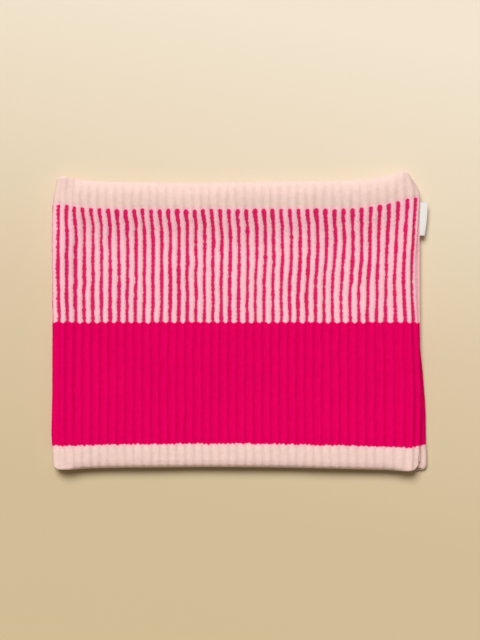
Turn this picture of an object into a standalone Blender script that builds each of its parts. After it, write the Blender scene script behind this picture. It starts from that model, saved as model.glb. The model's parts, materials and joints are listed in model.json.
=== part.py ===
"""Rib-knit neck gaiter lying flat: a knitted tube of four colour bands, closed by one side seam with a
folded label in it.

The tube lies with its back on the ground (+Z up, neck axis along Y). The knit is modelled as six columns,
three in the back layer and three in the front, which hinge on lines along Y so that the flat tube can open
into a hexagon. Two of those lines are the real left fold and the real side seam.
"""

import math

import bpy
from mathutils import Vector

# Driving dimensions, in metres.
FLAT_WIDTH = 0.275  # from the left fold to the side seam
RIBS_PER_SIDE = 42
ROW_PITCH = 0.003  # height of one knitted row
BAND_ROWS = (("bottom_border", 6), ("solid_band", 30), ("striped_band", 28), ("top_border", 7))
KNIT = 0.0035  # thickness of one layer over its ribs
INSIDE_GAP = 0.006  # between the two layers
RIB_GROOVE = 0.0011  # depth of the groove between two ribs
CLEARANCE = 0.0003  # between pieces that touch

LABEL_WIDTH = 0.025  # the tape's width, along the seam
LABEL_REACH = 0.0062  # how far the folded tab stands out of the seam
LABEL_FROM_TOP = 0.0285  # tube's top edge to the middle of the label
LABEL_THICKNESS = 0.001
TAPE_PLY = 0.00035

SEAM_DEPTH = 0.0096  # how far the two sewn edges reach into the tube
SEAM_PLY = 0.00105
THREAD = 0.0005
STITCHES = 24

# Worked out from those.
PANEL = FLAT_WIDTH / 3
RIB = FLAT_WIDTH / RIBS_PER_SIDE
HALF_HEIGHT = INSIDE_GAP / 2 + KNIT
TUBE_LENGTH = ROW_PITCH * sum(rows for _, rows in BAND_ROWS)
TUBE_X = -LABEL_REACH / 2  # the tube's middle, so that the whole box is centred on the origin
SEAM_X = TUBE_X + FLAT_WIDTH / 2
FOLD_X = TUBE_X - FLAT_WIDTH / 2
SEAM_HALF = CLEARANCE / 2 + SEAM_PLY
LABEL_Y = TUBE_LENGTH / 2 - LABEL_FROM_TOP

# The rounded side edges: (distance of the curve's centre from the edge, outer and inner half axes along X,
# height over the middle plane where the layer stops).
FOLD_EDGE = (HALF_HEIGHT, HALF_HEIGHT, INSIDE_GAP / 2, CLEARANCE / 2)
SEAM_EDGE = (0.009, 0.008, 0.0045, SEAM_HALF + CLEARANCE)
EDGE_STEPS = 10

PALE_PINK = (0.90, 0.64, 0.58)
MAGENTA = (0.78, 0.004, 0.10)
STRIPE_MEAN = (0.86, 0.40, 0.42)
WHITE = (0.85, 0.85, 0.83)
BAND_COLOURS = {
    "bottom_border": PALE_PINK,
    "solid_band": MAGENTA,
    "striped_band": STRIPE_MEAN,
    "top_border": PALE_PINK,
}


def clear_scene():
    for obj in list(bpy.data.objects):
        bpy.data.objects.remove(obj)


def make_material(name, colour, roughness):
    material = bpy.data.materials.new(name)
    material.use_nodes = True
    shader = material.node_tree.nodes["Principled BSDF"]
    shader.inputs["Base Color"].default_value = (*colour, 1)
    shader.inputs["Roughness"].default_value = roughness
    return material


def make_hinge(name, x, z, parts):
    """An empty on a hinge line along Y, which carries the pieces that turn on it."""
    empty = bpy.data.objects.new(name, None)
    empty.empty_display_size = 0.02
    empty.location = (x, 0, z)
    parts.objects.link(empty)
    return empty


def extrude_along_y(name, outline, hinge, middle_y, length, material, parts):
    """A solid with an (x, z) outline given from the hinge line, centred on middle_y and length long."""
    curve = bpy.data.curves.new(name, "CURVE")
    curve.dimensions = "2D"
    curve.fill_mode = "BOTH"
    curve.extrude = length / 2
    spline = curve.splines.new("POLY")
    spline.points.add(len(outline) - 1)
    for point, (x, z) in zip(spline.points, outline):
        point.co = (x, z, 0, 1)
    spline.use_cyclic_u = True
    obj = bpy.data.objects.new(name, curve)
    obj.data.materials.append(material)
    obj.rotation_euler = (math.pi / 2, 0, 0)
    obj.location = (0, middle_y, 0)
    obj.parent = hinge
    parts.objects.link(obj)
    return obj


def box_outline(x_low, x_high, z_low, z_high):
    return [(x_low, z_low), (x_high, z_low), (x_high, z_high), (x_low, z_high)]


def rounded_edge(centre, half_axis, height, stop):
    """A layer's face from the panel's hinge line to its side edge: straight, then a quarter ellipse that
    ends at the height stop. Points are (distance from the hinge line, height over the middle plane)."""
    last = math.asin(stop / height)
    turns = [math.pi / 2 + (last - math.pi / 2) * i / EDGE_STEPS for i in range(EDGE_STEPS + 1)]
    curve = [Vector((centre + half_axis * math.cos(a), height * math.sin(a))) for a in turns]
    return [Vector((CLEARANCE / 2, height))] + curve


def along(points, distance):
    """The point that far along a chain of points, and the outward normal there."""
    for start, end in zip(points, points[1:]):
        step = end - start
        if distance <= step.length or end is points[-1]:
            direction = step.normalized()
            return start + direction * min(distance, step.length), Vector((-direction.y, direction.x))
        distance -= step.length


def ribbed(points):
    """The chain of points with ribs: flat crests as wide as the knit columns, and V grooves between them."""
    length = sum((b - a).length for a, b in zip(points, points[1:]))
    crest_start, crest_end = 0.14 * RIB, 0.86 * RIB
    found = []
    start = 0.0
    while start < length:
        for offset, depth in ((0.0, RIB_GROOVE), (crest_start, 0.0), (crest_end, 0.0)):
            if start + offset < length:
                place, normal = along(points, start + offset)
                found.append(place - normal * depth)
        start += RIB
    if (found[-1] - points[-1]).length > CLEARANCE:
        found.append(points[-1])
    return found


def side_section(edge):
    """A side panel's outline, as (distance outwards from its hinge line, height over the middle plane)."""
    from_edge, outer_axis, inner_axis, stop = edge
    centre = PANEL - from_edge
    outer = ribbed(rounded_edge(centre, outer_axis, HALF_HEIGHT, stop))
    inner = rounded_edge(centre, inner_axis, INSIDE_GAP / 2, stop)
    return outer + inner[::-1]


def centre_section():
    """A centre panel's outline, measured from the tube's middle."""
    half = PANEL / 2 - CLEARANCE / 2
    top = ribbed([Vector((-half, HALF_HEIGHT)), Vector((half, HALF_HEIGHT))])
    return top + [Vector((half, INSIDE_GAP / 2)), Vector((-half, INSIDE_GAP / 2))]


def make_panel(layer, column, materials, parts):
    """The four bands of one column of one layer, carried by an empty on the line it hinges on."""
    up = 1 if layer == "front" else -1
    inner_z = HALF_HEIGHT + up * INSIDE_GAP / 2
    if column == "center":
        # The front layer's middle column hangs on the left column; the back one is the fixed base.
        hinge_x, hinge_z = (TUBE_X - PANEL / 2, inner_z) if layer == "front" else (TUBE_X, 0)
        section = [(TUBE_X + p.x - hinge_x, p.y) for p in centre_section()]
    else:
        outwards, edge = (-1, FOLD_EDGE) if column == "left" else (1, SEAM_EDGE)
        inner_x = TUBE_X + outwards * PANEL / 2
        on_fold = layer == "front" and column == "left"
        hinge_x, hinge_z = (FOLD_X, HALF_HEIGHT) if on_fold else (inner_x, inner_z)
        section = [(inner_x - hinge_x + outwards * p.x, p.y) for p in side_section(edge)]
    outline = [(x, HALF_HEIGHT + up * height - hinge_z) for x, height in section]
    hinge = make_hinge(f"{layer}_{column}_hinge", hinge_x, hinge_z, parts)
    low = -TUBE_LENGTH / 2
    for band, rows in BAND_ROWS:
        length = rows * ROW_PITCH
        name = f"{layer}_{column}_{band}"
        middle = low + length / 2
        extrude_along_y(name, outline, hinge, middle, length - CLEARANCE, materials[band], parts)
        low += length


def as_mesh(obj, parts):
    """A curve object made a mesh with welded caps, so that it can be cut."""
    graph = bpy.context.evaluated_depsgraph_get()
    mesh = bpy.data.meshes.new_from_object(obj.evaluated_get(graph))
    name, parent, location, rotation = obj.name, obj.parent, obj.location.copy(), obj.rotation_euler.copy()
    bpy.data.objects.remove(obj)
    solid = bpy.data.objects.new(name, mesh)
    solid.parent, solid.location, solid.rotation_euler = parent, location, rotation
    parts.objects.link(solid)
    weld = solid.modifiers.new("join_caps", "WELD")
    weld.merge_threshold = 1e-6
    return solid


def make_label_pocket(hinge, cutters):
    """The cutter for the room that the label's ends take between the two sewn edges."""
    bpy.ops.mesh.primitive_cube_add(size=1)
    pocket = bpy.context.object
    pocket.name = "label_pocket"
    pocket.scale = (2 * SEAM_DEPTH, LABEL_WIDTH + 2 * CLEARANCE, LABEL_THICKNESS + 2 * CLEARANCE)
    pocket.location = (0, LABEL_Y, 0)
    pocket.parent = hinge
    pocket.hide_render = True
    pocket.display_type = "WIRE"
    for collection in list(pocket.users_collection):
        collection.objects.unlink(pocket)
    cutters.objects.link(pocket)
    return pocket


def make_seam(materials, parts, cutters):
    """The two sewn edges, the thread over them and the label's ends, on the seam's hinge line."""
    hinge = make_hinge("side_seam_hinge", SEAM_X, HALF_HEIGHT, parts)
    pocket = make_label_pocket(hinge, cutters)
    bpy.context.view_layer.update()
    for layer, up in (("front", 1), ("back", -1)):
        low, high = sorted((up * CLEARANCE / 2, up * SEAM_HALF))
        outline = box_outline(-SEAM_DEPTH, -CLEARANCE, low, high)
        length = TUBE_LENGTH - CLEARANCE
        edge = extrude_along_y(
            f"seam_edge_{layer}", outline, hinge, 0, length, materials["bottom_border"], parts
        )
        edge = as_mesh(edge, parts)
        cut = edge.modifiers.new("label_pocket", "BOOLEAN")
        cut.operation = "DIFFERENCE"
        cut.object = pocket

    tail_end = -SEAM_DEPTH + LABEL_REACH / 2
    half = LABEL_THICKNESS / 2
    outline = box_outline(tail_end, -CLEARANCE, -half, half)
    extrude_along_y("label_ends", outline, hinge, LABEL_Y, LABEL_WIDTH, materials["label"], parts)
    make_seam_thread(hinge, materials["thread"], parts)


def make_seam_thread(hinge, material, parts):
    """One thread that laps the sewn edges from over to under and back, all along the seam."""
    height = SEAM_HALF + CLEARANCE + THREAD / 2
    needle = -SEAM_DEPTH + 0.0036
    lip = -SEAM_DEPTH - 0.0002
    loop = -SEAM_DEPTH - CLEARANCE - THREAD
    over = [(needle, height), (lip, height), (loop, 0), (lip, -height), (needle, -height)]
    pitch = (TUBE_LENGTH - 2 * ROW_PITCH) / STITCHES
    points = []
    for i in range(STITCHES):
        y = -TUBE_LENGTH / 2 + ROW_PITCH + i * pitch
        points += [(x, y, z) for x, z in over]
        points += [(x, y + pitch / 2, z) for x, z in reversed(over)]
    curve = bpy.data.curves.new("seam_thread", "CURVE")
    curve.dimensions = "3D"
    curve.bevel_depth = THREAD / 2
    curve.bevel_resolution = 1
    curve.use_fill_caps = True
    spline = curve.splines.new("POLY")
    spline.points.add(len(points) - 1)
    for point, place in zip(spline.points, points):
        point.co = (*place, 1)
    obj = bpy.data.objects.new("seam_thread", curve)
    obj.data.materials.append(material)
    obj.parent = hinge
    parts.objects.link(obj)


def make_label(material, parts):
    """The folded tab: two plies of woven tape joined by the fold at their outer end."""
    hinge = make_hinge("label_hinge", SEAM_X, HALF_HEIGHT, parts)
    outer, inner = LABEL_THICKNESS / 2, LABEL_THICKNESS / 2 - TAPE_PLY
    centre = LABEL_REACH - outer
    turns = [math.pi * i / 8 - math.pi / 2 for i in range(9)]
    outline = [(CLEARANCE, -outer)]
    outline += [(centre + outer * math.cos(a), outer * math.sin(a)) for a in turns]
    outline += [(CLEARANCE, outer), (CLEARANCE, inner)]
    outline += [(centre + inner * math.cos(a), inner * math.sin(a)) for a in reversed(turns)]
    outline += [(CLEARANCE, -inner)]
    extrude_along_y("label_tab", outline, hinge, LABEL_Y, LABEL_WIDTH, material, parts)


def main():
    clear_scene()
    parts = bpy.data.collections.new("neck_gaiter")
    cutters = bpy.data.collections.new("cutters")
    bpy.context.scene.collection.children.link(parts)
    bpy.context.scene.collection.children.link(cutters)

    materials = {band: make_material(band, colour, 0.95) for band, colour in BAND_COLOURS.items()}
    materials["label"] = make_material("label", WHITE, 0.6)
    materials["thread"] = make_material("thread", PALE_PINK, 0.7)

    for layer in ("back", "front"):
        for column in ("left", "center", "right"):
            make_panel(layer, column, materials, parts)
    make_seam(materials, parts, cutters)
    make_label(materials["label"], parts)


main()
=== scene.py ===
"""A rib-knit neck gaiter lying flat: pale borders, a striped band and a solid magenta band.

The cloth is one tube, drawn in two coordinates: rho counts the ribs round the tube, with a groove at each
whole number, and v is the height above the bottom edge. Front is the layer that shows. All lengths are in
metres.
"""

import json
import math

import bpy
import numpy as np
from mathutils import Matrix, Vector


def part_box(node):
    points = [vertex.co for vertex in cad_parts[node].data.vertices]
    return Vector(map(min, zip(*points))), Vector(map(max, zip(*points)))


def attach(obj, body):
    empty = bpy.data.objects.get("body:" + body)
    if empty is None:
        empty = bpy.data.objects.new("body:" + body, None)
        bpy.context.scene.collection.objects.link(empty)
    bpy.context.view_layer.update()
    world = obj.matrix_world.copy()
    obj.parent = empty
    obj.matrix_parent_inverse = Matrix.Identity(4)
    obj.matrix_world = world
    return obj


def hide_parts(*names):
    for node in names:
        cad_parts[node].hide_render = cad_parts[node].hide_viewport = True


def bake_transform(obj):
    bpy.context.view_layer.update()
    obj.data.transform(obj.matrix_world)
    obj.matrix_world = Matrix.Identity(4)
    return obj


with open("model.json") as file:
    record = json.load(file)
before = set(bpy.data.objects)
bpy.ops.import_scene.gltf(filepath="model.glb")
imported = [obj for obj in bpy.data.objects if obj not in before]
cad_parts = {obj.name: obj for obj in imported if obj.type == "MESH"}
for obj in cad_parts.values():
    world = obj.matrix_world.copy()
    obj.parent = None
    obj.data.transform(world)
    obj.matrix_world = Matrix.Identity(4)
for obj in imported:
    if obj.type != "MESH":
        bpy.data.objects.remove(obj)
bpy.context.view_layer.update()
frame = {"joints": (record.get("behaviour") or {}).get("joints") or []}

PIVOTS = {j["name"]: j["pos_m"] for j in frame["joints"]}
FOLD_X = PIVOTS["left_fold"][0]
SEAM_X = PIVOTS["seam_swing"][0]
MID_Z = PIVOTS["left_fold"][2]
LEFT_HINGE_X = PIVOTS["tube_open"][0]
RIGHT_HINGE_X = PIVOTS["back_right_bend"][0]
TOTAL_HEIGHT = 0.213
Y_BOTTOM = -TOTAL_HEIGHT / 2

PITCH = 0.0065  # one rib and its groove
FIRST_GROOVE = 0.0075  # arc length from the fold's tip to groove 0
ROW = 0.003  # one knitted row
SOLID_FROM, STRIPES_FROM, STRIPES_TO = 0.018, 0.108, 0.192
BANDS = [
    ("bottom_border", 0.0, SOLID_FROM, "pale_pink_knit"),
    ("solid_band", SOLID_FROM, STRIPES_FROM, "magenta_knit"),
    ("striped_band", STRIPES_FROM, STRIPES_TO, "striped_knit"),
    ("top_border", STRIPES_TO, TOTAL_HEIGHT, "pale_pink_knit"),
]

# The section's rounded edges: outer and inner half axes, and how far the cloth stops above the seam's plane.
FOLD_OUT, FOLD_IN = (0.010, 0.0065), (0.0065, 0.003)
SEAM_SETBACK = 0.0083
SEAM_OUT, SEAM_IN = (0.008, 0.0065), (0.0045, 0.003)
SEAM_SLOT = 0.0009
BEND_REACH = 0.040  # how far the cloth would turn over on each side of a hinge line; nothing here bends it

RIM = 0.0017  # radius of the rounded top and bottom edges
GROOVE = 0.0016  # depth of the grooves outside, and of those inside
INSIDE_GROOVE = 0.0009
BEAD_OUT, BEAD_UP = 0.0004, 0.0013  # half axes of the turned edges along the seam line
WALE, STITCH = PITCH / 4, ROW / 2  # one column and one row of stitches


def smooth(t):
    t = np.clip(t, 0.0, 1.0)
    return t * t * (3 - 2 * t)


def through(value, points):
    """A smooth curve through (place, amount) points, level beyond both ends."""
    xs, ys = (np.array(c, float) for c in zip(*points))
    slopes = np.gradient(ys, xs)
    slopes[0] = slopes[-1] = 0.0
    value = np.clip(value, xs[0], xs[-1])
    i = np.clip(np.searchsorted(xs, value) - 1, 0, len(xs) - 2)
    h = xs[i + 1] - xs[i]
    t = (value - xs[i]) / h
    return (
        ys[i] * (1 + 2 * t) * (1 - t) ** 2 + slopes[i] * h * t * (1 - t) ** 2
        + ys[i + 1] * t * t * (3 - 2 * t) - slopes[i + 1] * h * t * t * (1 - t)
    )


class Noise:
    """Smooth noise from -1 to 1 over a plane, one lattice cell per unit."""

    def __init__(self, seed, size=96):
        self.grid = np.random.default_rng(seed).uniform(-1, 1, (size, size))
        self.size = size

    def __call__(self, a, b):
        ia, ib = np.floor(a).astype(int), np.floor(b).astype(int)
        fa, fb = smooth(a - ia), smooth(b - ib)

        def at(i, j):
            return self.grid[i % self.size, j % self.size]

        low = at(ia, ib) * (1 - fa) + at(ia + 1, ib) * fa
        high = at(ia, ib + 1) * (1 - fa) + at(ia + 1, ib + 1) * fa
        return low * (1 - fb) + high * fb


SWAY, JITTER, PUFF, LOOP, YARN, TEETH, HEIGHTS = (Noise(seed) for seed in range(11, 18))


def half_path():
    """The front half of the section: arc length, then outer x, outer height, inner x and inner height.
    Heights are over the mid-plane."""
    quarter = np.linspace(0, math.pi / 2, 160)
    cx = FOLD_X + FOLD_OUT[0]
    fold = np.stack([
        cx - FOLD_OUT[0] * np.cos(quarter), FOLD_OUT[1] * np.sin(quarter),
        cx - FOLD_IN[0] * np.cos(quarter), FOLD_IN[1] * np.sin(quarter),
    ])
    sx = SEAM_X - SEAM_SETBACK
    level = np.linspace(cx, sx, 400)[1:-1]
    ones = np.ones_like(level)
    straight = np.stack([level, ones * FOLD_OUT[1], level, ones * FOLD_IN[1]])
    outer = np.linspace(math.pi / 2, math.asin(SEAM_SLOT / SEAM_OUT[1]), 160)
    inner = np.linspace(math.pi / 2, math.asin(SEAM_SLOT / SEAM_IN[1]), 160)
    seam = np.stack([
        sx + SEAM_OUT[0] * np.cos(outer), SEAM_OUT[1] * np.sin(outer),
        sx + SEAM_IN[0] * np.cos(inner), SEAM_IN[1] * np.sin(inner),
    ])
    path = np.concatenate([fold, straight, seam], axis=1)
    steps = np.hypot(np.diff(path[0]), np.diff(path[1]))
    return np.concatenate([[0], np.cumsum(steps)]), path


ARC, PATH = half_path()
ARC_END = ARC[-1]
RHO_FIRST = (-ARC_END - FIRST_GROOVE) / PITCH
RHO_LAST = (ARC_END - FIRST_GROOVE) / PITCH


# How the outline of the flat cloth strays from a rectangle: (height v, shift in x).
LEFT_EDGE = [(0, 0.0006), (0.020, -0.0005), (0.050, -0.0004), (0.110, 0), (0.150, -0.0004),
             (0.190, 0.0002), (0.200, 0.0012), (0.213, 0.0032)]
RIGHT_EDGE = [(0, 0.0008), (0.018, 0.0020), (0.045, 0.003), (0.080, 0.002), (0.110, 0.0003),
              (0.155, -0.0012), (0.170, 0.0002), (0.180, 0.0012), (0.192, 0.0020), (0.202, 0.0010),
              (0.213, -0.0020)]
SEAM_LINE = [(0, 0.0004), (0.045, 0.0006), (0.080, 0.0004), (0.110, 0), (0.213, 0)]
BACK_BULGE = [(0, 0.0080), (0.018, 0.0064), (0.045, 0.0050), (0.080, 0.0030), (0.110, 0.0008),
              (0.140, 0)]
# How much wider the fold stands than its nominal edge, how far the front ribs bow to the left in the middle
# and, lower down, near the seam, and how far they lean left near the stripes' upper ends and above them.
FOLD_SPREAD = 0.0014
RIB_BOW, LOW_BOW, TOP_LEAN = 0.0011, 0.0022, 0.0012
# How far the bottom border sags in y, from left to right.
BOTTOM_SAG = [(-0.135, 0.0025), (-0.100, 0.0014), (-0.063, 0.0010), (-0.028, 0.0007), (0.008, 0.0008),
              (0.044, 0.0013), (0.080, 0.0021), (0.116, 0.0032), (0.127, 0.0036), (0.134, 0.0026)]
TOP_STRETCH = 0.0011
# How high the front layer lies over its nominal height, away from the fold and the seam.
FRONT_LIFT = [(0, -0.0028), (0.002, -0.0012), (0.0045, -0.0003), (0.009, 0.0001), (0.018, 0.0003),
              (0.045, -0.0008), (0.110, -0.0016), (0.150, -0.0024), (0.164, -0.0030), (0.173, -0.0024),
              (0.180, -0.0012), (0.186, 0.0001), (0.193, 0.0008), (0.206, 0.0007), (0.210, -0.0007),
              (0.213, -0.0026)]
PUFF_HEIGHT = 0.0004  # soft unevenness of the front layer
# The corners: how far the top ones rise, and how far the top edge drops at the seam line and dips left of the
# middle.
SEAM_CORNER_RISE, FOLD_CORNER_RISE = 0.0112, 0.0035
SEAM_DROP, TOP_DIP = 0.019, 0.0013
FOLD_ROUNDING, LOW_ROUNDING = 0.0035, 0.0060  # of the corners at the fold, and of the lower one at the seam


def settle(x, y, z, seam_line=0.0):
    """Moves points of the flat tube to where the cloth lies: x, y, z arrays to x, y, z arrays.
    seam_line is 1 where a point belongs to the pieces along the seam, and moves with that line alone."""
    v = y - Y_BOTTOM
    from_left, from_right = x - FOLD_X, SEAM_X - x
    from_top = TOTAL_HEIGHT - v
    up = z - MID_Z
    left = through(v, LEFT_EDGE) * np.clip(1 - from_left / 0.030, 0, 1) ** 2
    left = left - FOLD_SPREAD * np.clip(1 - from_left / 0.008, 0, 1)
    share = np.clip(from_left / (SEAM_X - FOLD_X), 0, 1)
    bow = RIB_BOW * np.abs(np.sin(math.pi * share)) ** 1.5
    bow = bow + LOW_BOW * smooth((0.168 - v) / 0.045) * np.sin(math.pi * share ** 3.5)
    lean = TOP_LEAN * smooth((v - 0.176) / 0.014) * smooth((from_left - 0.010) / 0.012)
    left = left - (bow + lean * smooth((from_right - 0.020) / 0.070)) * smooth(up / 0.003)
    edge = through(v, RIGHT_EDGE)
    at_line = through(v, SEAM_LINE)
    spread = np.clip(1 - from_right / 0.045, 0, 1) ** 2
    bulge = through(v, BACK_BULGE) * smooth((0.032 - from_right) / 0.025) * (up < 0)
    near_line = smooth((np.abs(up) - 0.0012) / 0.0025)
    near_line = np.maximum(near_line, smooth((from_right - 0.006) / 0.004)) * (1 - seam_line)
    right = (edge * spread + bulge) * near_line + at_line * spread * (1 - near_line)

    from_seam = from_right * (1 - seam_line)  # the pieces along the seam rise and drop as its line does
    corner = SEAM_CORNER_RISE * np.clip(1 - from_seam / 0.060, 0, 1) ** 2
    left_corner = FOLD_CORNER_RISE * np.exp(-((from_left / 0.022) ** 2))
    fade = 1 - smooth((from_top - 0.021) / 0.054)
    drop = SEAM_DROP * np.clip(1 - from_seam / 0.0095, 0, 1) ** 1.3 * np.clip(1 - from_top / 0.024, 0, 1)
    dip = TOP_DIP * np.exp(-(((x + 0.040) / 0.060) ** 2)) * np.clip(1 - from_top / 0.030, 0, 1)
    sag = through(x, BOTTOM_SAG) * (1 - smooth((v - 0.020) / 0.060))
    sag = sag - TOP_STRETCH * smooth((v - 0.110) / 0.080)
    left_round = FOLD_ROUNDING * np.clip(1 - from_left / 0.005, 0, 1) ** 2
    rounding = left_round * (np.clip(1 - from_top / 0.02, 0, 1) - np.clip(1 - v / 0.012, 0, 1))
    low_round = LOW_ROUNDING * np.clip(1 - from_seam / 0.006, 0, 1) ** 2 * np.clip(1 - v / 0.012, 0, 1)
    lift = (corner + left_corner) * fade - drop - dip - sag - rounding + low_round

    inland = smooth((from_left - 0.0085) / 0.014) * smooth((from_right - 0.005) / 0.018)
    puff = PUFF_HEIGHT * PUFF(x / 0.035 + 40, y / 0.028 + 40)
    rise = (through(v, FRONT_LIFT) + puff) * inland * smooth(up / 0.003)
    return x + left + right, y + lift, z + rise


def nearest_groove(rho):
    k = np.round(rho)
    return k, rho - k


def relief(rho, v):
    """How far the cloth's outside lies below its rib tops."""
    k, d = nearest_groove(rho)
    a = np.abs(d)
    flank = 1 - 0.75 * smooth((a - 0.05) / 0.25)
    stepped = np.where(a < 0.30, flank, 0.25 * np.clip((0.5 - a) / 0.2, 0, 1) ** 2)
    rounded = (0.5 + 0.5 * np.cos(2 * math.pi * d)) ** 1.2
    border = np.maximum(1 - smooth((v - 0.012) / 0.008), smooth((v - 0.190) / 0.006))
    solid = smooth((v - 0.016) / 0.006) * (1 - smooth((v - 0.106) / 0.004))
    plain = np.clip(border + solid, 0, 1)
    depth = GROOVE * (stepped * (1 - plain) + rounded * (0.95 * plain - 0.38 * border))
    near_top = 0.45 + 0.55 * smooth((TOTAL_HEIGHT - v) / 0.010)
    crest = smooth((a - 0.24) / 0.1)
    loops = 0.5 + 0.5 * np.cos(2 * math.pi * (v / ROW - 2.6 * (0.5 - a) + 0.25 * LOOP(k * 0.7, v / 0.02)))
    row_phase = v / ROW + 0.3 * LOOP(k + 9, v / 0.015)
    purl = (1 - smooth(a / 0.14)) * (0.5 + 0.5 * np.cos(2 * math.pi * row_phase))
    uneven = 0.00010 * JITTER(rho * 2.3 + 5, v / 0.0021) + 0.00018 * SWAY(rho * 0.9, v / 0.010 + 31)
    soften = 1 - 0.55 * plain
    return (depth + (0.00024 * crest * loops - 0.00042 * purl + uneven) * soften) * near_top


def inner_relief(rho, v):
    """How far the cloth's inside lies outward of its own rib tops, which are behind the grooves."""
    _, d = nearest_groove(rho)
    rib = smooth((np.abs(d) - 0.16) / 0.2)
    return INSIDE_GROOVE * rib + 0.00015 * np.cos(2 * math.pi * v / (2 * ROW))


def yarn(rho, v):
    """Signed distance in metres into the magenta yarn, above 0 in magenta."""
    k, d = nearest_groove(rho)
    a = np.abs(d)
    across = a * PITCH
    half = PITCH * (
        0.200 + 0.040 * YARN(k * 1.7 + 0.3 * np.sign(d), v / ROW) + 0.030 * YARN(k * 0.61 + 50, v / 0.021)
        + 0.022 * np.cos(2 * math.pi * (v / ROW + 0.5 * YARN(k * 2.1, v / 0.02)))
    )
    top = STRIPES_TO + 0.0005 * HEIGHTS(k * 1.37, 3.5 + 0 * v)
    swell = 0.0004 * (1 - smooth((top - v) / 0.012))
    stripe = half + swell - across
    bulb = 0.0016
    end = bulb - np.hypot(across, np.maximum(v - (top - bulb), 0.0))
    stripe = np.where(v > top - bulb, np.minimum(end, stripe + 0.0004), stripe)
    sewn_in = (k < RHO_FIRST + 0.5) | (k > RHO_LAST - 0.5)  # no stripe in the grooves at the seam itself
    stripe = np.where((v < STRIPES_FROM - 0.002) | sewn_in, -0.01, stripe)
    tooth = 0.0010 * np.abs(np.cos(2 * math.pi * a)) + 0.0005 * TEETH(rho * 2.1, 7.3 + 0 * v)
    upper = STRIPES_FROM + 0.0004 - tooth * ((a > 0.19) | sewn_in) - v
    lower = v - (SOLID_FROM - 0.0006 + 0.0008 * (0.5 - 0.5 * np.cos(4 * math.pi * a))
                 + 0.0006 * TEETH(rho * 2.9 + 40, 2.6 + 0 * v))
    return np.maximum(np.minimum(upper, lower), stripe)


def blush(v):
    """How much the yarns mix in colour: in the striped band and next to the solid one the pale yarn is tinted
    pink as painted bounce light from the magenta, and in the striped band pale fibres lie over the magenta.
    """
    stripes = smooth((v - STRIPES_FROM + 0.002) / 0.002) * (1 - smooth((v - STRIPES_TO + 0.001) / 0.004))
    low = smooth((v - SOLID_FROM + 0.0035) / 0.003) * (1 - smooth((v - SOLID_FROM - 0.003) / 0.004))
    return np.maximum(stripes, low)


def cloth(rho, v):
    """Outer point, inner point, yarn and depth for arrays of rho and v; points are (3, ...) arrays."""
    at_seam = np.minimum(rho - RHO_FIRST, RHO_LAST - rho) * PITCH
    loose = smooth((at_seam - 0.002) / 0.012)
    sway = 0.00042 * SWAY(rho / 1.8, v / 0.014) + 0.00024 * SWAY(rho / 0.9 + 37, v / 0.006)
    s = np.clip(FIRST_GROOVE + PITCH * rho + sway * loose, -ARC_END, ARC_END)
    side = np.where(s < 0, -1.0, 1.0)
    xo, uo, xi, ui = (np.interp(np.abs(s), ARC, row) for row in PATH)
    normal = np.stack([xo - xi, side * (uo - ui)])
    thick = np.hypot(*normal)
    normal = normal / thick
    edge = np.minimum(v, TOTAL_HEIGHT - v)
    pinch = 0.92 * (1 - np.sqrt(np.clip(1 - (1 - np.clip(edge / RIM, 0, 1)) ** 2, 0, 1)))
    calm = 1 - 0.8 * pinch
    taper = smooth(at_seam / 0.0025)
    out_depth = relief(rho, v) * calm * taper
    in_depth = inner_relief(rho, v) * calm * taper
    room = (thick - out_depth - in_depth) / 2
    out_depth = out_depth + pinch * room
    in_depth = in_depth + pinch * room
    outer = [xo - out_depth * normal[0], Y_BOTTOM + v, MID_Z + side * uo - out_depth * normal[1]]
    inner = [xi + in_depth * normal[0], Y_BOTTOM + v, MID_Z + side * ui + in_depth * normal[1]]
    return settle(*outer), settle(*inner), yarn(rho, v), out_depth / GROOVE


def rows_between(low, high, step):
    """Heights from low to high, closer together in the rounded rims, 3 n + 1 of them."""
    count = max(3, int(round((high - low) / step / 3)) * 3)
    v = np.linspace(low, high, count + 1)
    rim = RIM * np.array([0.0, 0.04, 0.16, 0.34, 0.6, 0.85, 1.15])
    if low == 0:
        rest = np.linspace(rim[-1], high, count + 1 - (len(rim) - 1) % 3)
        v = np.concatenate([rim[:-1], rest])
    if high == TOTAL_HEIGHT:
        rest = np.linspace(low, high - rim[-1], count + 1 - (len(rim) - 1) % 3)
        v = np.concatenate([rest, high - rim[:-1][::-1]])
    while (len(v) - 1) % 3:
        gap = np.argmax(np.diff(v))
        v = np.insert(v, gap + 1, (v[gap] + v[gap + 1]) / 2)
    return v


def new_mesh(name, points, faces, attributes=None):
    """An object in the scene from an (n, 3) array and a list of (m, corners) face arrays."""
    mesh = bpy.data.meshes.new(name)
    mesh.vertices.add(len(points))
    mesh.vertices.foreach_set("co", np.asarray(points, np.float32).ravel())
    sizes = np.concatenate([np.full(len(f), f.shape[1], np.int32) for f in faces])
    corners = np.concatenate([f.ravel() for f in faces]).astype(np.int32)
    mesh.loops.add(len(corners))
    mesh.loops.foreach_set("vertex_index", corners)
    mesh.polygons.add(len(sizes))
    mesh.polygons.foreach_set("loop_start", np.concatenate([[0], np.cumsum(sizes)[:-1]]).astype(np.int32))
    mesh.polygons.foreach_set("loop_total", sizes)
    mesh.polygons.foreach_set("use_smooth", np.ones(len(sizes), bool))
    for key, values in (attributes or {}).items():
        mesh.attributes.new(key, "FLOAT", "POINT").data.foreach_set("value", values.astype(np.float32))
    mesh.update(calc_edges=True)
    mesh.validate()
    obj = bpy.data.objects.new(name, mesh)
    bpy.context.scene.collection.objects.link(obj)
    return obj


def grid_faces(index, flip):
    a, b, c, d = index[:-1, :-1], index[1:, :-1], index[1:, 1:], index[:-1, 1:]
    quads = np.stack([a, b, c, d], -1).reshape(-1, 4)
    return quads[:, ::-1] if flip else quads


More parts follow.
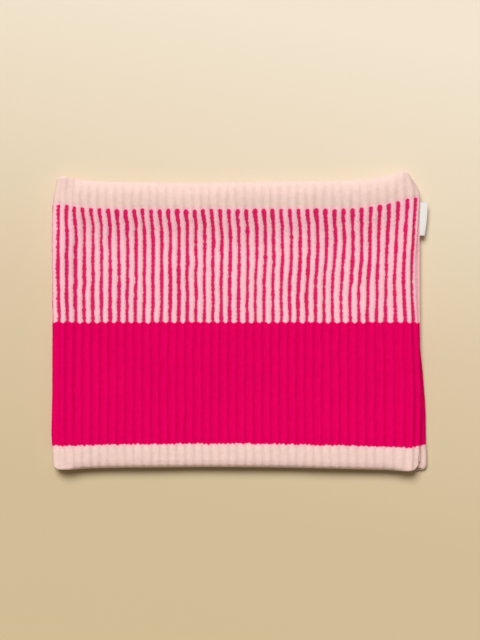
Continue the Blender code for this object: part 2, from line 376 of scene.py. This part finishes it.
def wall_faces(outer, inner, step, flip):
    """Faces between a run of outer vertices and the sparser run of inner ones."""
    starts = np.arange(0, len(outer) - 1, step)
    run = np.stack([outer[starts + i] for i in range(step + 1)], -1)
    pair = np.stack([inner[1:], inner[:-1]], -1)
    faces = np.concatenate([run, pair], -1)
    return faces[:, ::-1] if flip else faces


IN_RHO, IN_V = 2, 3  # the inside is drawn with one vertex for so many of the outside's, round and up the tube
YARN_REACH = 0.002  # distance from where the yarns meet at which the yarn attribute is 0 or 1


def yarn_share(distance):
    """The yarn attribute: 0 in pale yarn, 1 in magenta, in between close to where they meet."""
    return 0.5 + np.clip(distance, -YARN_REACH, YARN_REACH) / (2 * YARN_REACH)


def cloth_piece(name, rho_low, rho_high, v_low, v_high, per_rib, row_step):
    """One closed section of the knit, with its outside, its inside and its cut edges."""
    count = int(round((rho_high - rho_low) * per_rib / IN_RHO)) * IN_RHO
    rho = np.linspace(rho_low, rho_high, count + 1)
    v = rows_between(v_low, v_high, row_step)
    grid_rho, grid_v = np.meshgrid(rho, v, indexing="ij")
    outer, _, colour, depth = cloth(grid_rho, grid_v)
    coarse_rho, coarse_v = grid_rho[::IN_RHO, ::IN_V], grid_v[::IN_RHO, ::IN_V]
    _, inner, inner_colour, _ = cloth(coarse_rho, coarse_v)
    points = np.concatenate([np.stack(outer, -1).reshape(-1, 3), np.stack(inner, -1).reshape(-1, 3)])
    top = np.arange(grid_rho.size).reshape(grid_rho.shape)
    low = grid_rho.size + np.arange(coarse_rho.size).reshape(coarse_rho.shape)
    faces = [
        grid_faces(top, False), grid_faces(low, True),
        wall_faces(top[:, 0], low[:, 0], IN_RHO, True), wall_faces(top[:, -1], low[:, -1], IN_RHO, False),
        wall_faces(top[0], low[0], IN_V, False), wall_faces(top[-1], low[-1], IN_V, True),
    ]
    # Depth for the painted groove shade: the outside's own depth, and a fixed 0.3 on the inside, which gives
    # a faint even painted shade.
    shade = np.concatenate([depth.ravel(), np.full(coarse_rho.size, 0.3)])
    tint = np.concatenate([colour.ravel(), inner_colour.ravel()])
    height = np.concatenate([grid_v.ravel(), coarse_v.ravel()])
    around = np.concatenate([grid_rho.ravel(), coarse_rho.ravel()])
    obj = new_mesh(name, points, faces, {
        "yarn": yarn_share(tint), "depth": shade, "blush": blush(height),
        "wale": around * PITCH / WALE, "course": height / STITCH,
    })
    sharpen(obj, [top[:, 0], top[:, -1], top[0], top[-1], low[:, 0], low[:, -1], low[0], low[-1]])
    return obj


def sharpen(obj, runs):
    """Marks the edges along these runs of vertices as sharp, so that the cut edges shade flat."""
    mesh = obj.data
    on_rim = np.zeros(len(mesh.vertices), np.int32)
    for number, run in enumerate(runs):
        on_rim[run] |= 1 << number
    ends = np.zeros(len(mesh.edges) * 2, np.int32)
    mesh.edges.foreach_get("vertices", ends)
    ends = ends.reshape(-1, 2)
    sharp = (on_rim[ends[:, 0]] & on_rim[ends[:, 1]]) > 0
    mesh.attributes.new("sharp_edge", "BOOLEAN", "EDGE").data.foreach_set("value", sharp)


# ---------------------------------------------------------------- materials


def principled(name, roughness=0.9, specular=0.0, sheen=0.0, sheen_tint=(1, 1, 1), sheen_roughness=0.5):
    material = bpy.data.materials.new(name)
    material.use_nodes = True
    tree = material.node_tree
    shader = tree.nodes["Principled BSDF"]
    shader.inputs["Roughness"].default_value = roughness
    shader.inputs["Specular IOR Level"].default_value = specular
    shader.inputs["Sheen Weight"].default_value = sheen
    shader.inputs["Sheen Roughness"].default_value = sheen_roughness
    shader.inputs["Sheen Tint"].default_value = (*sheen_tint, 1)
    return material, tree, shader


def node(tree, kind, inputs=None, **settings):
    made = tree.nodes.new(kind)
    for key, value in settings.items():
        setattr(made, key, value)
    for key, value in (inputs or {}).items():
        if isinstance(value, bpy.types.NodeSocket):
            tree.links.new(value, made.inputs[key])
        else:
            made.inputs[key].default_value = value
    return made


def math_node(tree, operation, a, b=0.0, c=0.0):
    return node(tree, "ShaderNodeMath", {0: a, 1: b, 2: c}, operation=operation).outputs[0]


def mix_colour(tree, factor, a, b, blend="MIX"):
    mixed = tree.nodes.new("ShaderNodeMix")
    mixed.data_type, mixed.blend_type = "RGBA", blend
    for slot_index, value in ((0, factor), (6, a), (7, b)):
        if isinstance(value, bpy.types.NodeSocket):
            tree.links.new(value, mixed.inputs[slot_index])
        else:
            mixed.inputs[slot_index].default_value = value
    return mixed.outputs[2]


def noise_node(tree, where, scale, detail=2.0, roughness=0.6):
    return node(
        tree, "ShaderNodeTexNoise",
        {"Vector": where, "Scale": scale, "Detail": detail, "Roughness": roughness},
    ).outputs["Fac"]


PALE = (0.880, 0.650, 0.605, 1)
# The pale yarn's colour deep in the grooves: painted shade.
PALE_GROOVE_SHADE = (0.740, 0.450, 0.400, 1)
# The pale yarn's pink tint near the magenta: painted bounce light.
PALE_MAGENTA_BOUNCE = (0.990, 0.560, 0.640, 1)
MAGENTA = (0.790, 0.0006, 0.121, 1)
# The magenta's darker colour: painted shade in the grooves, and in the striped band the colour of its random
# darker specks.
MAGENTA_SPECK_AND_GROOVE_SHADE = (0.560, 0.0004, 0.076, 1)
MAGENTA_MIXED = (0.735, 0.016, 0.145, 1)  # in the striped band, where pale fibres lie over it


def attribute(tree, name):
    return node(tree, "ShaderNodeAttribute", attribute_name=name).outputs["Fac"]


def stitch_node(tree):
    """Height of the stitches: a V in each wale and course, 0 to 1."""
    side = math_node(tree, "MULTIPLY", math_node(tree, "PINGPONG", attribute(tree, "wale"), 0.5), 2.0)
    phase = math_node(tree, "MULTIPLY_ADD", side, 0.55, attribute(tree, "course"))
    wave = math_node(tree, "SINE", math_node(tree, "MULTIPLY", phase, 2 * math.pi))
    leg = math_node(tree, "MULTIPLY_ADD", wave, 0.5, 0.5)
    return math_node(tree, "MULTIPLY", leg, math_node(tree, "POWER", side, 0.5))


def knit_material(slot_name, sheen_tint, sheen):
    """Brushed wool: two yarns chosen by the yarn attribute, with loose fibres crossing where they meet.
    Painted shade darkens the grooves and the gaps between stitches, and painted bounce light tints the pale
    yarn pink near the magenta.
    """
    material, tree, shader = principled(
        slot_name, roughness=0.95, sheen=sheen, sheen_tint=sheen_tint, sheen_roughness=0.6
    )
    where = node(tree, "ShaderNodeTexCoord").outputs["Object"]
    fibres = noise_node(tree, where, 1300.0, 3.0)
    tufts = noise_node(tree, where, 330.0, 2.0)
    cloud = noise_node(tree, where, 42.0, 2.0)
    specks = noise_node(tree, where, 520.0, 1.0)
    stitches = stitch_node(tree)
    yarn_value, depth_value, mix_and_bounce_value = (attribute(tree, name) for name in ("yarn", "depth", "blush"))
    stray = math_node(tree, "MULTIPLY_ADD", fibres, 0.24, -0.12)
    stray = math_node(tree, "ADD", stray, math_node(tree, "MULTIPLY_ADD", tufts, 0.34, -0.17))
    which = math_node(tree, "ADD", yarn_value, stray)
    which = node(
        tree, "ShaderNodeMapRange", {"Value": which, "From Min": 0.40, "From Max": 0.60},
        interpolation_type="SMOOTHSTEP",
    ).outputs["Result"]
    # Painted shade: the colour darkens with the depth attribute, most in the grooves.
    groove_shade = node(
        tree, "ShaderNodeMapRange", {"Value": depth_value, "From Min": 0.25, "From Max": 1.0, "To Max": 0.75},
    ).outputs["Result"]
    pale = mix_colour(tree, math_node(tree, "MULTIPLY", groove_shade, 0.40), PALE, PALE_GROOVE_SHADE)
    # Painted bounce light: the pale yarn is tinted pink in the striped band and next to the solid one. In the
    # striped band the same mask also greys the magenta where pale fibres lie over it.
    pale = mix_colour(tree, mix_and_bounce_value, pale, PALE_MAGENTA_BOUNCE)
    striped = slot_name == "striped_knit"
    rich = mix_colour(tree, mix_and_bounce_value, MAGENTA, MAGENTA_MIXED) if striped else MAGENTA
    # In the striped band the magenta darkens in random specks. Elsewhere it darkens with the depth attribute
    # as painted groove shade.
    specks_and_groove_shade = math_node(tree, "MULTIPLY_ADD", specks, 1.6, -0.55) if striped else groove_shade
    magenta = mix_colour(tree, math_node(tree, "MULTIPLY", specks_and_groove_shade, 0.5), rich, MAGENTA_SPECK_AND_GROOVE_SHADE)
    both = mix_colour(tree, which, pale, magenta)
    grain = math_node(tree, "ADD", math_node(tree, "MULTIPLY_ADD", fibres, 0.22, 0.785),
                      math_node(tree, "MULTIPLY_ADD", tufts, 0.20, 0.0))
    grain = math_node(tree, "ADD", grain, math_node(tree, "MULTIPLY_ADD", cloud, 0.08, -0.04))
    # Painted shade between the stitches: the colour is lighter on the loops' tops and darker between them.
    grain = math_node(tree, "ADD", grain, math_node(tree, "MULTIPLY_ADD", stitches, 0.09, -0.03))
    grey = {"Red": grain, "Green": grain, "Blue": grain}
    tint = node(tree, "ShaderNodeCombineColor", grey).outputs["Color"]
    colour = mix_colour(tree, 1.0, both, tint, "MULTIPLY")
    tree.links.new(colour, shader.inputs["Base Color"])
    height = math_node(tree, "ADD", math_node(tree, "MULTIPLY", fibres, 0.6),
                       math_node(tree, "MULTIPLY", tufts, 0.6))
    height = math_node(tree, "ADD", height, math_node(tree, "MULTIPLY", stitches, 0.48))
    bump = node(tree, "ShaderNodeBump", {"Height": height, "Strength": 0.55, "Distance": 0.0006})
    tree.links.new(bump.outputs["Normal"], shader.inputs["Normal"])
    return material


def thread_material():
    material, tree, shader = principled("seam_thread", roughness=0.8, specular=0.15)
    where = node(tree, "ShaderNodeTexCoord").outputs["Object"]
    twist = node(
        tree, "ShaderNodeTexWave", {"Vector": where, "Scale": 900.0, "Distortion": 1.5},
        bands_direction="DIAGONAL",
    ).outputs["Fac"]
    colour = mix_colour(tree, twist, (0.78, 0.52, 0.47, 1), (0.93, 0.70, 0.65, 1))
    tree.links.new(colour, shader.inputs["Base Color"])
    bump = node(tree, "ShaderNodeBump", {"Height": twist, "Strength": 0.5, "Distance": 0.0001})
    tree.links.new(bump.outputs["Normal"], shader.inputs["Normal"])
    return material


def label_material():
    """White satin tape: fine weft ridges along the tape, a faint warp across them."""
    material, tree, shader = principled("label_tape", roughness=0.5, specular=0.35)
    where = node(tree, "ShaderNodeTexCoord").outputs["Object"]
    weft = node(
        tree, "ShaderNodeTexWave", {"Vector": where, "Scale": 420.0, "Distortion": 0.4, "Detail": 1.0},
        bands_direction="Y",
    ).outputs["Fac"]
    warp = node(
        tree, "ShaderNodeTexWave", {"Vector": where, "Scale": 650.0, "Distortion": 0.3},
        bands_direction="X",
    ).outputs["Fac"]
    weave = math_node(tree, "MULTIPLY", weft, warp)
    colour = mix_colour(tree, weave, (0.74, 0.74, 0.73, 1), (0.90, 0.90, 0.89, 1))
    tree.links.new(colour, shader.inputs["Base Color"])
    bump = node(tree, "ShaderNodeBump", {"Height": weave, "Strength": 0.5, "Distance": 0.00012})
    tree.links.new(bump.outputs["Normal"], shader.inputs["Normal"])
    return material


MATERIALS = {
    "pale_pink_knit": knit_material("pale_pink_knit", (1.0, 0.80, 0.76), 0.10),
    "magenta_knit": knit_material("magenta_knit", (1.0, 0.02, 0.25), 0.06),
    "striped_knit": knit_material("striped_knit", (1.0, 0.60, 0.64), 0.05),
    "seam_thread": thread_material(),
    "label_tape": label_material(),
}


def finish_piece(obj, slot_name):
    obj.data.materials.clear()
    obj.data.materials.append(MATERIALS[slot_name])


# ---------------------------------------------------------------- the knitted tube


def at_x(x, z=0.0):
    return (x, 0.0, z)


LEFT_NEAR, LEFT_FAR = LEFT_HINGE_X + BEND_REACH, LEFT_HINGE_X - BEND_REACH
RIGHT_NEAR, RIGHT_FAR = RIGHT_HINGE_X - BEND_REACH, RIGHT_HINGE_X + BEND_REACH
FOLD_TURN = 0.0028  # the fold would turn over this height below and above the mid-plane; nothing here bends it
FINE, PLAIN = (12, 0.0006), (8, 0.001)
# Name, first and last rho, the two bodies that it would bend between and from where to where, which knit_tube
# does not use, the CAD columns that it stands for, and how finely it is drawn: steps for each rib, and the
# height of one step up the tube.
COLUMNS = [
    ("back_right_half", RHO_FIRST, -23, ("back_center", "back_right"), (at_x(RIGHT_NEAR), at_x(RIGHT_FAR)),
     ["back_center", "back_right"], PLAIN),
    ("back_left_half", -23, -3, ("back_center", "back_left"), (at_x(LEFT_NEAR), at_x(LEFT_FAR)),
     ["back_center", "back_left"], PLAIN),
    ("left_fold", -3, 1, ("back_left", "front_left"),
     (at_x(FOLD_X, MID_Z - FOLD_TURN), at_x(FOLD_X, MID_Z + FOLD_TURN)), ["back_left", "front_left"], FINE),
    ("front_left_half", 1, 20, ("front_left", "front_center"), (at_x(LEFT_FAR), at_x(LEFT_NEAR)),
     ["front_left", "front_center"], FINE),
    ("front_right_half", 20, RHO_LAST, ("front_center", "front_right"), (at_x(RIGHT_NEAR), at_x(RIGHT_FAR)),
     ["front_center", "front_right"], FINE),
]


def knit_tube():
    for column, rho_low, rho_high, bodies, turn, stands_for, (per_rib, row_step) in COLUMNS:
        for band, v_low, v_high, slot_name in BANDS:
            piece = cloth_piece(f"{column}_{band}", rho_low, rho_high, v_low, v_high, per_rib, row_step)
            finish_piece(piece, slot_name)
            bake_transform(piece)
            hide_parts(*(f"{cad}_{band}" for cad in stands_for))


# ---------------------------------------------------------------- the side seam

SEAM_DEPTH = 0.0096  # how far the turned-in edges reach into the tube
PLY = 0.00072
PLY_GAP = 0.00010
THREAD_PITCH = 0.0032
THREAD_RADIUS = 0.00024
THREAD_LOOP = (0.0019, 0.00125)  # half the width and half the height of one loop


def seam_edge(name, side):
    """One turned-in edge of the knit: a flat ply inside the tube, ending in a round bead on the seam line."""
    turn = np.linspace(math.radians(126), math.radians(7), 9)
    bead = [(SEAM_X + BEAD_OUT * math.cos(a), BEAD_UP * math.sin(a)) for a in turn]
    inland = [SEAM_X - d for d in (0.0018, 0.0030, 0.0045, 0.0060, 0.0075, 0.0088)]
    tip = SEAM_X - SEAM_DEPTH
    mid = (PLY + PLY_GAP) / 2 + PLY_GAP / 2
    profile = (
        [(tip, mid), (tip + 0.0002, PLY)] + [(x, PLY + PLY_GAP) for x in inland[::-1]] + bead
        + [(SEAM_X - 0.0006, PLY_GAP)] + [(x, PLY_GAP) for x in inland] + [(tip + 0.0002, 2 * PLY_GAP)]
    )
    px, pu = (np.array(c) for c in zip(*profile))
    v = np.linspace(0.0006, TOTAL_HEIGHT - 0.0006, 286)
    gx, gv = np.meshgrid(px, v, indexing="ij")
    gu, _ = np.meshgrid(pu, v, indexing="ij")
    out = np.hypot((gx - SEAM_X) / BEAD_OUT, gu / BEAD_UP)
    near = gx > SEAM_X - 0.0012
    bump = 1 + 0.13 * np.cos(2 * math.pi * gv / ROW + (0 if side > 0 else math.pi)) * (near & (out > 0.9))
    gx = np.where(near, SEAM_X + (gx - SEAM_X) * bump, gx)
    gu = np.where(near & (gu > PLY_GAP * 1.5), gu * bump, gu)
    x, y, z = settle(gx, Y_BOTTOM + gv, MID_Z + side * gu, 1.0)
    count, rows = gx.shape
    index = np.arange(gx.size).reshape(gx.shape)
    ring = np.concatenate([index, index[:1]])
    body = grid_faces(ring, side < 0)
    caps = [index[:, 0], index[:, -1][::-1]]
    caps = [c if side > 0 else c[::-1] for c in caps]
    tone = np.where(gv > STRIPES_FROM, -YARN_REACH, yarn(np.full(gv.shape, 0.25), gv))
    # The turned edge gets a fixed depth of 0.4, which gives a faint even painted shade.
    piece = new_mesh(
        name, np.stack([x, y, z], -1).reshape(-1, 3), [body, caps[0][None], caps[1][None]],
        {
            "yarn": yarn_share(tone).ravel(), "depth": np.full(gx.size, 0.4), "blush": blush(gv).ravel(),
            "wale": (gx / WALE).ravel(), "course": (gv / STITCH).ravel(),
        },
    )
    finish_piece(piece, "striped_knit")
    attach(piece, "side_seam")
    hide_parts(name.removesuffix("_knit"))
    return piece


def tube_along(name, route, radius, sides=6):
    """A thread of round section along a route of points."""
    route = np.asarray(route, float)
    along = np.gradient(route, axis=0)
    along /= np.linalg.norm(along, axis=1)[:, None]
    first = np.cross(along, [0.0, 0.0, 1.0])
    weak = np.linalg.norm(first, axis=1) < 0.2
    first[weak] = np.cross(along[weak], [0.0, 1.0, 0.0])
    first /= np.linalg.norm(first, axis=1)[:, None]
    second = np.cross(along, first)
    angle = np.linspace(0, 2 * math.pi, sides, endpoint=False)
    ring = np.cos(angle)[None, :, None] * first[:, None] + np.sin(angle)[None, :, None] * second[:, None]
    points = route[:, None] + radius * ring
    index = np.arange(points.shape[0] * sides).reshape(-1, sides)
    wrapped = np.concatenate([index, index[:, :1]], axis=1)
    faces = [grid_faces(wrapped, False), index[:1, :], index[-1:, ::-1]]
    return new_mesh(name, points.reshape(-1, 3), faces)


def seam_thread():
    """The overlock thread: loops round both turned-in edges, each a little over one row above the last."""
    turns = int((TOTAL_HEIGHT - 0.006) / THREAD_PITCH)
    t = np.linspace(0, turns, turns * 14 + 1)
    centre_x = SEAM_X - SEAM_DEPTH + 0.0011
    a = 2 * math.pi * t
    x = centre_x + THREAD_LOOP[0] * np.cos(a)
    up = THREAD_LOOP[1] * np.sign(np.sin(a)) * np.abs(np.sin(a)) ** 0.6
    y = Y_BOTTOM + 0.003 + THREAD_PITCH * t + 0.0005 * np.sin(a)
    x, y, z = settle(x, y, MID_Z + up, 1.0)
    piece = tube_along("overlock_thread", np.stack([x, y, z], -1), THREAD_RADIUS)
    finish_piece(piece, "seam_thread")
    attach(piece, "side_seam")
    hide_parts("seam_thread")
    return piece


# ---------------------------------------------------------------- the label

LABEL_LOW, LABEL_HIGH = (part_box("label_tab")[i] for i in (0, 1))
LABEL_CAUGHT = 0.006  # how far its ends reach into the seam
TAPE = 0.00034
LABEL_TOP_REACH, LABEL_LOW_REACH = 0.0064, 0.0042  # from the seam line out to the fold
LABEL_OPEN = 0.00042  # half the space between the plies' middles at the fold
LABEL_CLOSED = 0.00012  # half the space between the plies at the seam
LABEL_RISE = 0.0012  # the top corner lifts the label a little with it


def label():
    """One folded tape: two plies from inside the seam out to the fold, which stands out more at the top."""
    low_y, high_y = LABEL_LOW.y, LABEL_HIGH.y
    rows, steps = 41, 26
    y = np.linspace(low_y, high_y, rows)
    share = np.linspace(0, 1, steps)
    fold = np.linspace(math.pi / 2, -math.pi / 2, 9)[1:-1]
    points = []
    for height in y:
        k = (height - low_y) / (high_y - low_y)
        reach = LABEL_TOP_REACH - (LABEL_TOP_REACH - LABEL_LOW_REACH) * (1 - k) ** 1.8
        edge_x = SEAM_X + reach - LABEL_OPEN
        start_x = SEAM_X - LABEL_CAUGHT
        bow = 0.0006 * math.sin(math.pi * k) - 0.0004
        tip = 0.0006 * (k - 0.75)

        def lift(x):
            out = max(0.0, (x - SEAM_X) / reach)
            return bow * out ** 1.5 + tip * out

        def gap(x):
            widening = LABEL_OPEN - LABEL_CLOSED - TAPE / 2
            return LABEL_CLOSED + widening * smooth(np.array((x - SEAM_X) / reach))

        line = start_x + share * (edge_x - start_x)
        upper_out = [(x, lift(x) + gap(x) + TAPE) for x in line]
        upper_in = [(x, lift(x) + gap(x)) for x in line]
        lower_in = [(x, lift(x) - gap(x)) for x in line]
        lower_out = [(x, lift(x) - gap(x) - TAPE) for x in line]
        g, base = gap(edge_x), lift(edge_x)
        round_out = [(edge_x + (g + TAPE) * math.cos(a), base + (g + TAPE) * math.sin(a)) for a in fold]
        round_in = [(edge_x + g * math.cos(a), base + g * math.sin(a)) for a in fold]
        ring = upper_out + round_out + lower_out[::-1] + lower_in + round_in[::-1] + upper_in[::-1]
        points.append([(x, height + LABEL_RISE, MID_Z + u) for x, u in ring])
    points = np.array(points)
    ring_size = points.shape[1]
    index = np.arange(rows * ring_size).reshape(rows, ring_size)
    wrapped = np.concatenate([index, index[:, :1]], axis=1)
    faces = [grid_faces(wrapped, True)]
    half = ring_size // 2
    for row, flip in ((0, False), (rows - 1, True)):
        outer, inner = index[row, :half], index[row, half:][::-1]
        strip = np.stack([outer[:-1], outer[1:], inner[1:], inner[:-1]], -1)
        faces.append(strip[:, ::-1] if flip else strip)
    piece = new_mesh("label", points.reshape(-1, 3), faces)
    piece.data.shade_smooth()
    sharpen(piece, [index[0], index[-1]])
    finish_piece(piece, "label_tape")
    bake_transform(piece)
    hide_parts("label_tab", "label_ends")
    return piece


# ---------------------------------------------------------------- stage, light and camera


def floor_material():
    """Warm cream paper under painted light falloff: lighter behind the object than in front of it, and a
    little lighter to the right.
    """
    material, tree, shader = principled("floor_paper", roughness=0.9, specular=0.05)
    where = node(tree, "ShaderNodeTexCoord").outputs["Object"]
    split = node(tree, "ShaderNodeSeparateXYZ", {"Vector": where})
    # Painted light falloff: the colour runs from darker in front to lighter behind, slanted a little towards
    # +X.
    slant = math_node(tree, "MULTIPLY_ADD", split.outputs["X"], 0.19, split.outputs["Y"])
    along = node(
        tree, "ShaderNodeMapRange", {"Value": slant, "From Min": -0.24, "From Max": 0.24},
    ).outputs["Result"]
    painted_falloff = node(tree, "ShaderNodeValToRGB", {"Fac": along})
    stops = [
        (0.0, (0.620, 0.512, 0.318, 1)), (0.20, (0.622, 0.512, 0.330, 1)),
        (0.50, (0.695, 0.585, 0.412, 1)), (0.75, (0.803, 0.704, 0.548, 1)),
        (1.0, (0.880, 0.797, 0.672, 1)),
    ]
    painted_falloff.color_ramp.elements[0].position, painted_falloff.color_ramp.elements[0].color = stops[0]
    painted_falloff.color_ramp.elements[1].position, painted_falloff.color_ramp.elements[1].color = stops[-1]
    for place, colour in stops[1:-1]:
        painted_falloff.color_ramp.elements.new(place).color = colour
    grain = noise_node(tree, where, 900.0, 2.0)
    shade = mix_colour(tree, math_node(tree, "MULTIPLY_ADD", grain, 0.06, 0.0), painted_falloff.outputs["Color"],
                       (0.60, 0.48, 0.30, 1))
    tree.links.new(shade, shader.inputs["Base Color"])
    return material


FLOOR_Z = -0.0004  # just under the lowest rib
PICTURE_HEIGHT = 0.479  # what the camera sees from top to bottom, at the cloth


def stage():
    bpy.ops.mesh.primitive_grid_add(x_subdivisions=8, y_subdivisions=8, size=6.0, location=(0, 0, FLOOR_Z))
    floor = bpy.context.object
    floor.name = "floor"
    floor.data.materials.append(floor_material())


def light():
    # Name, energy, then in degrees its spread, elevation and bearing, and its colour.
    suns = (
        ("key", 2.99, 30, 56, 108, (0.99, 0.992, 0.985)),
        ("overhead", 0.45, 80, 78, 90, (1.0, 0.94, 0.86)),
    )
    for name, energy, spread, elevation, turn, colour in suns:
        sun = bpy.data.lights.new(name, "SUN")
        sun.energy, sun.angle, sun.color = energy, math.radians(spread), colour
        lamp = bpy.data.objects.new(name, sun)
        lamp.rotation_mode = "QUATERNION"
        elevation, turn = math.radians(elevation), math.radians(turn)
        toward = Vector((math.cos(turn) * math.cos(elevation), math.sin(turn) * math.cos(elevation),
                         math.sin(elevation)))
        lamp.rotation_quaternion = toward.to_track_quat("Z", "Y")
        bpy.context.scene.collection.objects.link(lamp)
    world = bpy.data.worlds.new("studio")
    world.use_nodes = True
    background = world.node_tree.nodes["Background"]
    background.inputs["Color"].default_value = (1.0, 0.72, 0.40, 1)
    background.inputs["Strength"].default_value = 0.11
    bpy.context.scene.world = world


def camera():
    """Straight down, with the picture's up along +Y."""
    data = bpy.data.cameras.new("camera")
    data.lens, data.sensor_width = 85.0, 36.0
    obj = bpy.data.objects.new("camera", data)
    middle_x = (FOLD_X + SEAM_X) / 2
    obj.location = (middle_x + 0.0028, 0.0032, 0.0115 + PICTURE_HEIGHT * data.lens / data.sensor_width)
    bpy.context.scene.collection.objects.link(obj)
    bpy.context.scene.camera = obj
    bpy.context.scene.view_settings.view_transform = "Standard"


camera()
light()
stage()
knit_tube()
seam_edge("seam_edge_front_knit", 1)
seam_edge("seam_edge_back_knit", -1)
seam_thread()
label()
